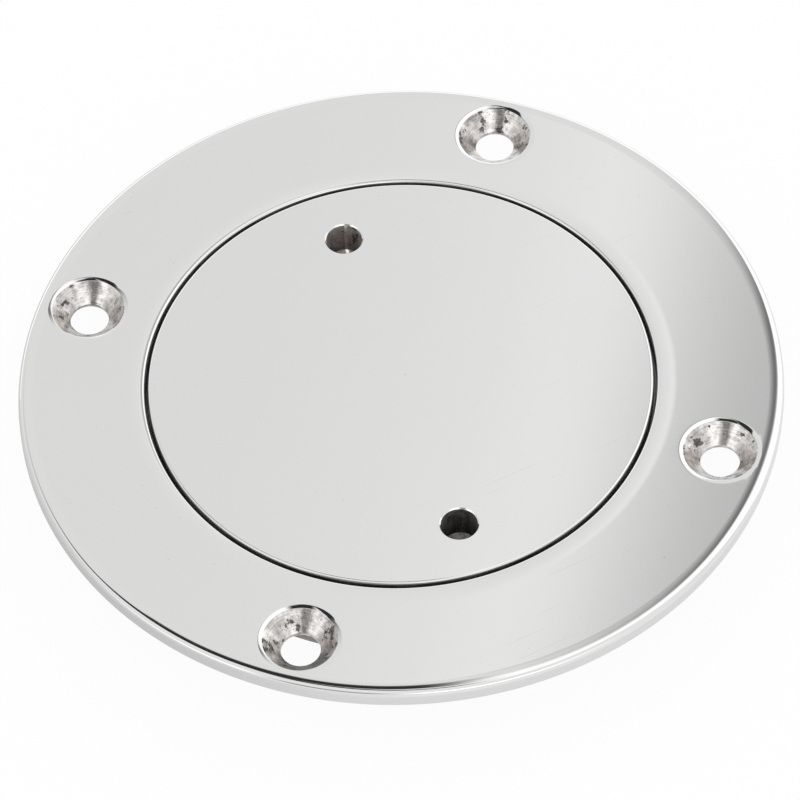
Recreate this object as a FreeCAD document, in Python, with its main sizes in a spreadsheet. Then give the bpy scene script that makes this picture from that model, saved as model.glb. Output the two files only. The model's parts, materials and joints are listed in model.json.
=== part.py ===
import FreeCAD, Part
import math
import os
import Sketcher

# Deck inspection plate in polished stainless steel, in millimetres.
# A round flange lies on the deck and its collar goes down through the cut-out.
# A flush cover screws into the collar on a coarse right-hand thread, over a rubber sealing ring.
# Z = 0 is the deck plane under the flange, +Z points up, and the origin is the centre of the screw circle.

doc = FreeCAD.newDocument("deck_inspection_plate")

# Driving sizes, lengths in millimetres and angles in degrees

SIZES = {
    # thread between the collar and the cover
    "thread_diameter": 78.0,
    "thread_pitch": 3.0,
    "thread_flank_angle": 30.0,
    "thread_root_share": 0.125,
    "thread_crest_share": 0.25,
    "thread_clearance": 0.3,
    "thread_chamfer": 1.2,
    "cutter_overshoot": 0.12,
    # rubber sealing ring, its neck on the cover and its seat in the collar
    "seal_section": 2.5,
    "seal_clearance": 0.1,
    "neck_relief": 0.2,
    "seat_angle": 30.0,
    "seat_step": 0.2,
    # head of the cover and the recess that it lies in
    "head_thickness": 3.2,
    "head_round": 0.5,
    "head_gap": 0.5,
    "ledge_width": 0.74,
    # flange
    "flange_width": 20.7,
    "flange_thickness": 3.5,
    "rim_shoulder_width": 2.5,
    "rim_shoulder_fall": 0.25,
    "rim_round": 1.0,
    "rim_lower_round": 0.8,
    "opening_shoulder_width": 3.4,
    "opening_shoulder_fall": 0.08,
    "opening_round": 0.5,
    # collar
    "collar_wall": 2.4,
    "collar_depth": 12.0,
    "collar_fillet": 1.0,
    "collar_edge_round": 0.8,
    # countersunk screw holes
    "screw_count": 4,
    "screw_start_angle": 45.0,
    "screw_margin": 8.55,
    "screw_hole_diameter": 6.4,
    "countersink_diameter": 12.3,
    "countersink_angle": 90.0,
    "countersink_round": 1.2,
    # hollow under the cover
    "skirt_wall": 3.6,
    "skirt_recess": 1.0,
    "web_thickness": 3.2,
    "cup_fillet": 1.0,
    "boss_blend": 1.5,
    # blind sockets for the pin key, in bosses under the head
    "key_socket_count": 2,
    "key_inset": 2.4,
    "key_socket_diameter": 6.0,
    "key_socket_depth": 6.5,
    "key_drill_angle": 118.0,
    "key_edge_break": 0.2,
    "key_boss_wall": 2.5,
    "key_boss_floor": 1.7,
    # turn of the key sockets from the Y axis with the cover screwed home
    "seated_turn": -10.3,
}

# Sizes worked out from them: radii, heights and lengths

FITS = {
    # thread profile, whose root and crest flats are shares of the pitch
    "root_half_flat": "sizes.thread_pitch * sizes.thread_root_share / 2",
    "mouth_half_width": "sizes.thread_pitch * (1 - sizes.thread_crest_share) / 2",
    "thread_depth": "(mouth_half_width - root_half_flat) / tan(sizes.thread_flank_angle * 1deg)",
    "ring_root_radius": "sizes.thread_diameter / 2",
    "ring_bore_radius": "ring_root_radius - thread_depth",
    "cover_crest_radius": "ring_root_radius - sizes.thread_clearance",
    "cover_root_radius": "ring_bore_radius - sizes.thread_clearance",
    # sealing ring: it sits on the neck, under the head and against the conical seat
    "neck_radius": "cover_root_radius - sizes.neck_relief",
    "seal_reach": "sizes.seal_section / 2 + sizes.seal_clearance",
    "seal_centre_radius": "neck_radius + seal_reach",
    "seat_spread": "tan(sizes.seat_angle * 1deg) + 1 / cos(sizes.seat_angle * 1deg)",
    "seat_mouth_radius": "seal_centre_radius + seal_reach * seat_spread",
    # head, recess, collar and flange, from the inside outwards
    "head_radius": "seat_mouth_radius + sizes.ledge_width",
    "recess_radius": "head_radius + sizes.head_gap",
    "collar_radius": "recess_radius + sizes.collar_wall",
    "flange_radius": "recess_radius + sizes.flange_width",
    "opening_shoulder_radius": "recess_radius + sizes.opening_shoulder_width",
    "rim_shoulder_radius": "flange_radius - sizes.rim_shoulder_width",
    # heights in the ring
    "rim_height": "sizes.flange_thickness - sizes.rim_shoulder_fall",
    "opening_height": "sizes.flange_thickness - sizes.opening_shoulder_fall",
    "ledge_height": "sizes.flange_thickness - sizes.head_thickness",
    "seal_height": "ledge_height - seal_reach",
    "seat_foot_radius": "ring_root_radius + sizes.seat_step",
    "seat_drop": "(seat_mouth_radius - seat_foot_radius) / tan(sizes.seat_angle * 1deg)",
    "seat_foot_height": "ledge_height - seat_drop",
    "lead_foot_height": "seat_foot_height - (seat_foot_radius - ring_bore_radius)",
    "bore_chamfer_height": "sizes.thread_chamfer - sizes.collar_depth",
    "bore_mouth_radius": "ring_bore_radius + sizes.thread_chamfer",
    # screw holes
    "screw_circle_radius": "flange_radius - sizes.screw_margin",
    "screw_x": "screw_circle_radius * cos(sizes.screw_start_angle * 1deg)",
    "screw_y": "screw_circle_radius * sin(sizes.screw_start_angle * 1deg)",
    "screw_hole_radius": "sizes.screw_hole_diameter / 2",
    "countersink_radius": "sizes.countersink_diameter / 2",
    "countersink_slope": "90 - sizes.countersink_angle / 2",
    "lip_reach": "sizes.countersink_round * tan(countersink_slope / 2 * 1deg)",
    "lip_radius": "countersink_radius + lip_reach",
    "lip_foot_radius": "countersink_radius - lip_reach * cos(countersink_slope * 1deg)",
    "lip_foot_height": "sizes.flange_thickness - lip_reach * sin(countersink_slope * 1deg)",
    "cone_depth": "(countersink_radius - screw_hole_radius) * tan(countersink_slope * 1deg)",
    "cone_foot_height": "sizes.flange_thickness - cone_depth",
    "screw_cut_top": "sizes.flange_thickness + sizes.cutter_overshoot",
    # cover, in its own frame with z = 0 at the underside of the head
    "skirt_length": "sizes.collar_depth - sizes.skirt_recess + ledge_height",
    "neck_flank_foot": "neck_radius - cover_crest_radius - sizes.seal_section",
    "lead_radius": "cover_crest_radius - sizes.thread_chamfer",
    "lead_top": "sizes.thread_chamfer - skirt_length",
    "cup_radius": "cover_root_radius - sizes.skirt_wall",
    "cup_top": "sizes.head_thickness - sizes.web_thickness",
    "key_radius": "cup_radius - sizes.key_inset",
    "key_socket_radius": "sizes.key_socket_diameter / 2",
    "key_boss_radius": "key_socket_radius + sizes.key_boss_wall",
    "key_drill_point": "key_socket_radius / tan(sizes.key_drill_angle / 2 * 1deg)",
    "key_reach": "sizes.key_socket_depth + key_drill_point + sizes.key_boss_floor",
    "boss_bottom": "sizes.head_thickness - key_reach",
    "cup_depth_below_bosses": "boss_bottom + skirt_length",
    "cup_depth_beside_bosses": "cup_top - boss_bottom",
    # helices: the ring's groove starts a turn below the collar, the cover's half a turn out of step
    "ring_helix_start": "-sizes.collar_depth - sizes.thread_pitch",
    "ring_helix_height": "sizes.collar_depth + sizes.thread_pitch * 2",
    "cover_helix_phase": "sizes.thread_pitch * (sizes.seated_turn / 360 - 1 / 2)",
    "cover_helix_start": "ring_helix_start - ledge_height + cover_helix_phase",
    "cover_helix_height": "ring_helix_height",
    "overshoot_rise": "sizes.cutter_overshoot * tan(sizes.thread_flank_angle * 1deg)",
    "ring_groove_inner": "ring_bore_radius - sizes.cutter_overshoot",
    "ring_groove_half_width": "mouth_half_width + overshoot_rise",
    "cover_groove_half_flat": "sizes.thread_pitch / 2 - mouth_half_width",
    "cover_groove_outer": "cover_crest_radius + sizes.cutter_overshoot",
    "cover_groove_rise": "(cover_groove_outer - cover_root_radius) * tan(sizes.thread_flank_angle * 1deg)",
    "cover_groove_half_width": "cover_groove_half_flat + cover_groove_rise",
}


# How near an edge lies to the place where it is looked for
TOUCH = 0.001


def add_sheet(name, cells):
    """Write named cells into a spreadsheet of their own."""
    sheet = doc.addObject("Spreadsheet::Sheet", name)
    for row, (alias, content) in enumerate(cells.items(), start=1):
        sheet.set(f"A{row}", alias)
        sheet.set(f"B{row}", content)
        sheet.setAlias(f"B{row}", alias)
    doc.recompute()
    return sheet


sizes = add_sheet("sizes", {name: str(value) for name, value in SIZES.items()})
fits = add_sheet("fits", {name: f"={formula}" for name, formula in FITS.items()})


def value_of(name):
    """Give the number behind a named size, which a minus sign before the name turns round."""
    if name.startswith("-"):
        return -value_of(name[1:])
    sheet = sizes if name in SIZES else fits
    return float(getattr(sheet, name))


def path_of(name):
    """Give the expression for a named size, with the same minus sign."""
    if name.startswith("-"):
        return f"-{path_of(name[1:])}"
    return f"sizes.{name}" if name in SIZES else f"fits.{name}"


# Sketches and features


def new_body(label):
    """Start a sub-part."""
    body = doc.addObject("PartDesign::Body", label)
    body.Label = label
    return body


def origin_item(body, role):
    """Find one of a body's own origin planes or axes."""
    return next(item for item in body.Origin.OriginFeatures if item.Role == role)


def new_sketch(body, name, plane, height=None):
    """Attach a sketch to an origin plane, raised to a named height where one is given."""
    sketch = body.newObject("Sketcher::SketchObject", name)
    sketch.AttachmentSupport = [(origin_item(body, plane), "")]
    sketch.MapMode = "FlatFace"
    if height:
        sketch.setExpression("AttachmentOffset.Base.z", path_of(height))
    return sketch


def bind(sketch, constraint, label, name):
    """Add a dimension to a sketch and tie it to a named size."""
    index = sketch.addConstraint(constraint)
    sketch.renameConstraint(index, label)
    sketch.setExpression(f"Constraints.{label}", path_of(name))


def pin_vertex(sketch, edge, end, label, across, up):
    """Hold one end of an edge at a named distance across and up from the sketch's origin."""
    for axis, name in (("X", across), ("Y", up)):
        if name == "zero":
            sketch.addConstraint(Sketcher.Constraint(f"Distance{axis}", -1, 1, edge, end, 0.0))
        else:
            size = value_of(name)
            distance = Sketcher.Constraint(f"Distance{axis}", -1, 1, edge, end, size)
            bind(sketch, distance, f"{label}_{axis.lower()}", name)


def corner_point(corner):
    """Place a named corner in the sketch plane."""
    across, up = (0.0 if name == "zero" else value_of(name) for name in corner)
    return FreeCAD.Vector(across, up, 0)


def shoulder_arc(low, level):
    """Give the arc between a low point and the point where it runs level with the top."""
    run = low.x - level.x
    fall = level.y - low.y
    radius = (run * run + fall * fall) / (2 * fall)
    centre = FreeCAD.Vector(level.x, level.y - radius, 0)
    circle = Part.Circle(centre, FreeCAD.Vector(0, 0, 1), radius)
    top = math.pi / 2
    swing = math.asin(run / radius)
    return Part.ArcOfCircle(circle, min(top, top - swing), max(top, top - swing))


def draw_outline(sketch, prefix, corners, shoulders=()):
    """Draw a closed outline through named corners; edges listed as shoulders arch up to a level corner."""
    level_ends = dict(shoulders)
    edges = []
    for number, corner in enumerate(corners):
        ends = [corner_point(corner), corner_point(corners[(number + 1) % len(corners)])]
        if number in level_ends:
            level = ends[level_ends[number] - number]
            low = ends[number + 1 - level_ends[number]]
            edges.append(sketch.addGeometry(shoulder_arc(low, level), False))
        else:
            edges.append(sketch.addGeometry(Part.LineSegment(*ends), False))
    # An arc's first vertex is its right-hand end, so the outline runs along it from vertex 2 to vertex 1
    first_ends = [2 if number in level_ends else 1 for number in range(len(edges))]
    last_ends = [1 if number in level_ends else 2 for number in range(len(edges))]
    for number, edge in enumerate(edges):
        after = (number + 1) % len(edges)
        meeting = (edge, last_ends[number], edges[after], first_ends[after])
        sketch.addConstraint(Sketcher.Constraint("Coincident", *meeting))
        pin_vertex(sketch, edge, first_ends[number], f"{prefix}{number}", *corners[number])
    for number, level_corner in level_ends.items():
        across = corners[level_corner][0]
        centre_x = Sketcher.Constraint("DistanceX", -1, 1, edges[number], 3, value_of(across))
        bind(sketch, centre_x, f"{prefix}{number}_centre", across)


def draw_circle(sketch, label, radius, across="zero", up="zero"):
    """Draw a circle of a named radius about a named centre."""
    circle = Part.Circle(corner_point((across, up)), FreeCAD.Vector(0, 0, 1), value_of(radius))
    edge = sketch.addGeometry(circle, False)
    bind(sketch, Sketcher.Constraint("Radius", edge, value_of(radius)), f"{label}_radius", radius)
    if across == "zero" and up == "zero":
        sketch.addConstraint(Sketcher.Constraint("Coincident", edge, 3, -1, 1))
    else:
        pin_vertex(sketch, edge, 3, label, across, up)


def turned(body, kind, name, sketch):
    """Revolve a profile about the sketch's upright axis, to add or to cut."""
    feature = body.newObject(f"PartDesign::{kind}", name)
    feature.Profile = (sketch, [""])
    feature.ReferenceAxis = (sketch, ["V_Axis"])
    feature.Angle = 360.0
    sketch.Visibility = False
    return feature


def straight(body, kind, name, sketch, length, upwards):
    """Pad or pocket a sketch over a named length, along +Z or against it."""
    feature = body.newObject(f"PartDesign::{kind}", name)
    feature.Profile = (sketch, [""])
    feature.setExpression("Length", path_of(length))
    grows_up = kind == "Pad"
    feature.Reversed = grows_up != upwards
    sketch.Visibility = False
    return feature


def thread_groove(body, name, start, height, corners):
    """Cut a right-hand helical groove whose section is given about the helix's start height."""
    sketch = new_sketch(body, f"{name}_section", "XZ_Plane")
    sketch.setExpression("AttachmentOffset.Base.y", path_of(start))
    draw_outline(sketch, name, corners)
    groove = body.newObject("PartDesign::SubtractiveHelix", name)
    groove.Profile = (sketch, [""])
    groove.ReferenceAxis = (sketch, ["V_Axis"])
    groove.Mode = "pitch-height-angle"
    groove.HasBeenEdited = True
    groove.setExpression("Pitch", path_of("thread_pitch"))
    groove.setExpression("Height", path_of(height))
    groove.LeftHanded = False
    sketch.Visibility = False
    return groove


def ease_edges(body, kind, name, size, chosen):
    """Fillet or chamfer the edges of the body's last feature that a test chooses."""
    doc.recompute()
    base = body.Tip
    found = [f"Edge{n}" for n, edge in enumerate(base.Shape.Edges, start=1) if chosen(edge)]
    if not found:
        raise RuntimeError(f"{name}: no edge to round")
    feature = body.newObject(f"PartDesign::{kind}", name)
    feature.Base = (base, found)
    property_name = "Radius" if kind == "Fillet" else "Size"
    feature.setExpression(property_name, path_of(size))
    return feature


def ring_edge(radius, height):
    """Test for a circular edge about the Z axis with a named radius and height."""
    wanted_radius = value_of(radius)
    wanted_height = 0.0 if height == "zero" else value_of(height)

    def test(edge):
        if not isinstance(edge.Curve, Part.Circle):
            return False
        centre = edge.Curve.Center
        on_axis = math.hypot(centre.x, centre.y) < TOUCH
        same_radius = abs(edge.Curve.Radius - wanted_radius) < TOUCH
        return on_axis and same_radius and abs(centre.z - wanted_height) < TOUCH

    return test


def spread(body, name, feature, count):
    """Repeat a feature round the Z axis."""
    pattern = body.newObject("PartDesign::PolarPattern", name)
    pattern.Originals = [feature]
    pattern.Axis = (origin_item(body, "Z_Axis"), [""])
    pattern.Angle = 360.0
    pattern.setExpression("Occurrences", path_of(count))
    body.Tip = pattern
    return pattern


def drilled(body, name, sketch, diameter):
    """Start a round hole at the circle of a sketch."""
    doc.recompute()
    hole = body.newObject("PartDesign::Hole", name)
    hole.Profile = (sketch, [""])
    hole.ThreadType = "None"
    hole.setExpression("Diameter", path_of(diameter))
    sketch.Visibility = False
    return hole


# Flange and collar, one piece


def make_deck_ring():
    body = new_body("deck_ring")
    section = new_sketch(body, "ring_section", "XZ_Plane")
    corners = [
        ("recess_radius", "opening_height"),
        ("opening_shoulder_radius", "flange_thickness"),
        ("rim_shoulder_radius", "flange_thickness"),
        ("flange_radius", "rim_height"),
        ("flange_radius", "zero"),
        ("collar_radius", "zero"),
        ("collar_radius", "-collar_depth"),
        ("bore_mouth_radius", "-collar_depth"),
        ("ring_bore_radius", "bore_chamfer_height"),
        ("ring_bore_radius", "lead_foot_height"),
        ("seat_foot_radius", "seat_foot_height"),
        ("seat_mouth_radius", "ledge_height"),
        ("recess_radius", "ledge_height"),
    ]
    draw_outline(section, "ring", corners, shoulders=((0, 1), (2, 2)))
    turned(body, "Revolution", "ring_blank", section)
    roundings = [
        ("rim_rounding", "rim_round", "flange_radius", "rim_height"),
        ("rim_foot_rounding", "rim_lower_round", "flange_radius", "zero"),
        ("opening_rounding", "opening_round", "recess_radius", "opening_height"),
        ("collar_root_rounding", "collar_fillet", "collar_radius", "zero"),
        ("collar_foot_rounding", "collar_edge_round", "collar_radius", "-collar_depth"),
    ]
    for name, size, radius, height in roundings:
        ease_edges(body, "Fillet", name, size, ring_edge(radius, height))

    # Internal thread, open at the seat and at the collar's foot
    groove = [
        ("ring_groove_inner", "-ring_groove_half_width"),
        ("ring_root_radius", "-root_half_flat"),
        ("ring_root_radius", "root_half_flat"),
        ("ring_groove_inner", "ring_groove_half_width"),
    ]
    thread_groove(body, "ring_thread", "ring_helix_start", "ring_helix_height", groove)

    # Countersunk screw holes, each with a buffed lip
    section = new_sketch(body, "screw_section", "XZ_Plane")
    section.setExpression("AttachmentOffset.Base.x", path_of("screw_x"))
    section.setExpression("AttachmentOffset.Base.z", path_of("-screw_y"))
    corners = [
        ("zero", "-cutter_overshoot"),
        ("screw_hole_radius", "-cutter_overshoot"),
        ("screw_hole_radius", "cone_foot_height"),
        ("lip_foot_radius", "lip_foot_height"),
        ("lip_radius", "flange_thickness"),
        ("lip_radius", "screw_cut_top"),
        ("zero", "screw_cut_top"),
    ]
    draw_outline(section, "screw", corners, shoulders=((3, 4),))
    hole = turned(body, "Groove", "screw_hole", section)
    spread(body, "screw_holes", hole, "screw_count")
    return body


# Cover, in its own frame: z = 0 is the underside of the head and the key sockets lie on the Y axis


def make_cover():
    body = new_body("cover")
    # Skirt with the neck for the sealing ring and the thread's chamfered lead
    section = new_sketch(body, "skirt_section", "XZ_Plane")
    corners = [
        ("zero", "zero"),
        ("neck_radius", "zero"),
        ("neck_radius", "-seal_section"),
        ("cover_crest_radius", "neck_flank_foot"),
        ("cover_crest_radius", "lead_top"),
        ("lead_radius", "-skirt_length"),
        ("zero", "-skirt_length"),
    ]
    draw_outline(section, "skirt", corners)
    turned(body, "Revolution", "skirt_blank", section)

    # External thread, cut before the head is added so that it runs out into the neck
    groove = [
        ("cover_root_radius", "-cover_groove_half_flat"),
        ("cover_groove_outer", "-cover_groove_half_width"),
        ("cover_groove_outer", "cover_groove_half_width"),
        ("cover_root_radius", "cover_groove_half_flat"),
    ]
    thread_groove(body, "cover_thread", "cover_helix_start", "cover_helix_height", groove)

    # Head
    disc = new_sketch(body, "head_circle", "XY_Plane")
    draw_circle(disc, "head", "head_radius")
    straight(body, "Pad", "head", disc, "head_thickness", upwards=True)
    ease_edges(body, "Fillet", "head_rounding", "head_round", ring_edge("head_radius", "head_thickness"))

    # Hollow underneath, which leaves a boss round each key socket
    lower = new_sketch(body, "cup_circle", "XY_Plane", "-skirt_length")
    draw_circle(lower, "cup", "cup_radius")
    straight(body, "Pocket", "cup_below_bosses", lower, "cup_depth_below_bosses", upwards=True)
    upper = new_sketch(body, "cup_outline", "XY_Plane", "boss_bottom")
    draw_cup_outline(upper)
    straight(body, "Pocket", "cup_beside_bosses", upper, "cup_depth_beside_bosses", upwards=True)
    ease_edges(body, "Fillet", "boss_blends", "boss_blend", boss_corner)
    ease_edges(body, "Fillet", "cup_floor_rounding", "cup_fillet", cup_floor)

    # Blind key sockets
    centre = new_sketch(body, "key_centre", "XY_Plane", "head_thickness")
    draw_circle(centre, "key", "key_socket_radius", "zero", "key_radius")
    hole = drilled(body, "key_socket", centre, "key_socket_diameter")
    hole.DepthType = "Dimension"
    hole.setExpression("Depth", path_of("key_socket_depth"))
    hole.DrillPoint = "Angled"
    hole.setExpression("DrillPointAngle", path_of("key_drill_angle"))
    spread(body, "key_sockets", hole, "key_socket_count")
    ease_edges(body, "Chamfer", "key_mouths", "key_edge_break", key_mouth)

    body.setExpression("Placement.Base.z", path_of("ledge_height"))
    body.setExpression("Placement.Rotation.Angle", f"{path_of('seated_turn')} * 1deg")
    return body


def draw_cup_outline(sketch):
    """Draw the cup's wall as two arcs joined by the outlines of the two key bosses."""
    cup = value_of("cup_radius")
    boss = value_of("key_boss_radius")
    out = value_of("key_radius")
    meet_y = (cup * cup - boss * boss + out * out) / (2 * out)
    meet = math.asin(meet_y / cup)
    bite = math.acos((meet_y - out) / boss)
    up = FreeCAD.Vector(0, 0, 1)
    origin = FreeCAD.Vector(0, 0, 0)
    arcs = []
    for side in (0.0, math.pi):
        wall = Part.ArcOfCircle(Part.Circle(origin, up, cup), side - meet, side + meet)
        arcs.append(sketch.addGeometry(wall, False))
        top = side + math.pi / 2
        centre = FreeCAD.Vector(out * math.cos(top), out * math.sin(top), 0)
        rounding = Part.ArcOfCircle(Part.Circle(centre, up, boss), top + bite, top + 2 * math.pi - bite)
        arcs.append(sketch.addGeometry(rounding, False))
    right, far_boss, left, near_boss = arcs
    for wall, before, after in ((right, near_boss, far_boss), (left, far_boss, near_boss)):
        sketch.addConstraint(Sketcher.Constraint("Coincident", wall, 3, -1, 1))
        sketch.addConstraint(Sketcher.Constraint("Coincident", wall, 2, after, 2))
        sketch.addConstraint(Sketcher.Constraint("Coincident", wall, 1, before, 1))
    bind(sketch, Sketcher.Constraint("Radius", right, cup), "wall_radius", "cup_radius")
    for label, edge, height in (("far", far_boss, "key_radius"), ("near", near_boss, "-key_radius")):
        bind(sketch, Sketcher.Constraint("Radius", edge, boss), f"{label}_boss", "key_boss_radius")
        pin_vertex(sketch, edge, 3, label, "zero", height)


def boss_corner(edge):
    """Test for an upright corner between a key boss and the cup's wall."""
    box = edge.BoundBox
    upright = box.XLength < TOUCH and box.YLength < TOUCH
    from_axis = math.hypot(box.Center.x, box.Center.y)
    on_wall = abs(from_axis - value_of("cup_radius")) < TOUCH
    return upright and on_wall and abs(box.ZMin - value_of("boss_bottom")) < TOUCH


def cup_floor(edge):
    """Test for an edge round the floor of the cup."""
    box = edge.BoundBox
    level = abs(box.ZMin - value_of("cup_top")) < TOUCH and box.ZLength < TOUCH
    reach = max(abs(box.XMin), abs(box.XMax), abs(box.YMin), abs(box.YMax))
    return level and reach < value_of("cup_radius") + TOUCH


def key_mouth(edge):
    """Test for the upper edge of a key socket."""
    box = edge.BoundBox
    at_top = abs(box.ZMin - value_of("head_thickness")) < TOUCH
    return at_top and TOUCH < box.XLength < value_of("key_boss_radius") * 2


# Sealing ring


def make_o_ring():
    ring = doc.addObject("Part::Torus", "o_ring")
    ring.Label = "o_ring"
    ring.setExpression("Radius1", path_of("seal_centre_radius"))
    ring.setExpression("Radius2", f"{path_of('seal_section')} / 2")
    ring.setExpression("Placement.Base.z", path_of("seal_height"))
    return ring


# Build, check and write


def check(parts):
    """Stop if any object failed or any sub-part has no sound shape."""
    for item in doc.Objects:
        if "Invalid" in item.State or "Error" in item.State:
            raise RuntimeError(f"{item.Label} failed: {item.State}")
    for part in parts:
        if part.Shape.isNull() or not part.Shape.isValid():
            raise RuntimeError(f"{part.Label} has no sound shape")


def main():
    parts = [make_deck_ring(), make_cover(), make_o_ring()]
    doc.recompute()
    check(parts)
    os.makedirs("parts", exist_ok=True)
    for part in parts:
        part.Shape.exportStep(f"parts/{part.Label}.step")


main()
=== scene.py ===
"""Deck inspection plate: a polished steel ring, its screw-in cover and the rubber ring between them."""

import json
import math

import bpy
from mathutils import Matrix, Vector


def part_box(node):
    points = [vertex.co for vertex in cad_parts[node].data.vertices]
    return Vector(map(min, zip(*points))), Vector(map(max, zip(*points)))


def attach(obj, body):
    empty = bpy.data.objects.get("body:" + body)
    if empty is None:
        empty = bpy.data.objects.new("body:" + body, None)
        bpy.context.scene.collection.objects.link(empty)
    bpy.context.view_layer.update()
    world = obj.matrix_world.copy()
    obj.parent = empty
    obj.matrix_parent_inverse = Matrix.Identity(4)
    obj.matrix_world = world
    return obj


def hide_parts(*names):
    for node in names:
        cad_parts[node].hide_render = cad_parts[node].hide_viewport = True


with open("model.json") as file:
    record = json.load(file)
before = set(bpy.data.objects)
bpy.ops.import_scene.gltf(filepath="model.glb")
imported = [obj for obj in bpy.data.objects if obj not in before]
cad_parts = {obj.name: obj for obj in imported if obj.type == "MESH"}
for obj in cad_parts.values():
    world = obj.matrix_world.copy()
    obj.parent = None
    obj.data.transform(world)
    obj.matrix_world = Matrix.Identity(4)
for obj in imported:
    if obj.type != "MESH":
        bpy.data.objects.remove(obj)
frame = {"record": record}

bl_info = {
    "name": "Deck inspection plate",
    "version": (1, 0, 0),
    "blender": (4, 5, 0),
    "location": "View3D > Sidebar > Deck plate",
    "description": "Models the ring, the screw-in cover and the sealing ring of a deck inspection plate",
    "category": "Add Mesh",
}

MM = 0.001
SAME = 0.001 * MM  # points nearer than this are one
HAIR = 0.01 * MM  # room in the tests that tell a face by its place
UP = Vector((0, 0, 1))
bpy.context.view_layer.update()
MOUNTS = {mount["name"]: mount["dims"] for mount in frame["record"]["mounts"]}
RING_LOW, RING_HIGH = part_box("deck_ring")
COVER_LOW, COVER_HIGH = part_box("cover")
SEAL_LOW, SEAL_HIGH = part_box("o_ring")


# Settings


def length(name, description, default):
    """A length in metres for a property group."""
    return bpy.props.FloatProperty(
        name=name, description=description, default=default, unit="LENGTH", precision=5
    )


def angle(name, description, degrees):
    """An angle for a property group."""
    return bpy.props.FloatProperty(
        name=name, description=description, default=math.radians(degrees), unit="ROTATION"
    )


def count(name, description, default):
    """A whole number for a property group."""
    return bpy.props.IntProperty(name=name, description=description, default=default, min=1)


def share(name, description, default):
    """A value from 0 to 1 for a property group."""
    return bpy.props.FloatProperty(name=name, description=description, default=default, min=0.0, max=1.0)


def tint(name, description, default):
    """A colour for a property group."""
    return bpy.props.FloatVectorProperty(
        name=name, description=description, default=default, subtype="COLOR", size=3, min=0.0, max=1.0
    )


class RingSizes(bpy.types.PropertyGroup):
    """Sizes of the flange and its collar."""

    outer_radius: length("Outer radius", "Radius of the flange at its rim", RING_HIGH.x)
    top: length("Top", "Height of the flange's top above the deck", RING_HIGH.z)
    foot: length("Foot", "Height of the collar's lower end", RING_LOW.z)
    recess_radius: length("Recess radius", "Radius of the recess that the cover's head lies in", 41.8045 * MM)
    ledge: length("Ledge", "Height of the ledge under the cover's head", COVER_HIGH.z - 3.2 * MM)
    seat_mouth: length("Seat mouth", "Radius of the conical seat at the ledge", 40.5645 * MM)
    seat_foot: length("Seat foot", "Radius of the conical seat at its foot", 39.2 * MM)
    seat_drop: length("Seat drop", "Height of the conical seat", 2.3633 * MM)
    opening_shoulder: length("Opening shoulder", "Width of the buffed shoulder round the recess", 3.4 * MM)
    opening_fall: length("Opening fall", "Drop of that shoulder at the recess", 0.08 * MM)
    opening_round: length("Opening rounding", "Radius of the recess's upper edge", 0.5 * MM)
    rim_shoulder: length("Rim shoulder", "Width of the buffed shoulder along the rim", 2.5 * MM)
    rim_fall: length("Rim fall", "Drop of that shoulder at the rim", 0.25 * MM)
    rim_round: length("Rim rounding", "Radius of the rim's upper edge", 1.0 * MM)
    rim_lower_round: length("Rim lower rounding", "Radius of the rim's lower edge", 0.8 * MM)
    collar_radius: length("Collar radius", "Outer radius of the collar", MOUNTS["collar"]["r_mm"] * MM)
    collar_fillet: length("Collar fillet", "Fillet between collar and flange", 1.0 * MM)
    collar_round: length("Collar rounding", "Radius of the collar's lower edge", 0.8 * MM)
    segments: count("Segments", "Segments round the ring", 384)


class ThreadSizes(bpy.types.PropertyGroup):
    """Sizes of the thread between the collar and the cover."""

    pitch: length("Pitch", "Rise of the thread in one turn", 3.0 * MM)
    flank: angle("Flank angle", "Angle of the thread's flanks from the level", 30)
    root_radius: length("Root radius", "Radius of the thread's root in the collar", 39.0 * MM)
    root_flat: length("Root flat", "Width of the flat at that root", 0.375 * MM)
    crest_flat: length("Crest flat", "Width of the flat at the crest", 0.75 * MM)
    clearance: length("Clearance", "Radial play between the two threads", 0.3 * MM)
    chamfer: length("Chamfer", "Chamfer at the lower end of both threads", 1.2 * MM)
    overshoot: length("Overshoot", "How far the cutting form stands out of the metal", 0.12 * MM)
    steps: count("Steps", "Steps in one turn", 128)


class ScrewHoleSizes(bpy.types.PropertyGroup):
    """Sizes of the countersunk screw holes."""

    number: count("Number", "How many screw holes there are", MOUNTS["deck_screws"]["count"])
    circle: length("Circle", "Diameter of the screw circle", MOUNTS["deck_screws"]["pcd_mm"] * MM)
    hole_radius: length("Hole radius", "Radius of the through hole", MOUNTS["deck_screws"]["hole_r_mm"] * MM)
    mouth_radius: length("Mouth radius", "Radius at which the cone would meet the flat top", 6.15 * MM)
    lead_round: length("Lead-in rounding", "Radius with which the flat top bends into the lip", 0.6 * MM)
    lip_bow: length("Lip bow", "Radius of the buffed lip's shallow curve", 11.0 * MM)
    lip_drop: length("Lip drop", "Depth at which the buffed lip meets the cone", 0.13 * MM)
    lip_slope: angle("Lip slope", "Slope of the buffed lip where it meets the cone", 12.6)
    lip_sweep: angle("Lip sweep", "Change of slope along the buffed lip", 3.2)
    lead_slope: angle("Lead-in slope", "Slope at which the lead-in leaves the flat top", 2)
    lip_round: length("Lip rounding", "Radius of the edge between the lip and the cone", 0.12 * MM)
    start: angle("Start angle", "Angle of the first hole from the X axis", 45)
    segments: count("Segments", "Segments round a hole", 112)


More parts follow.
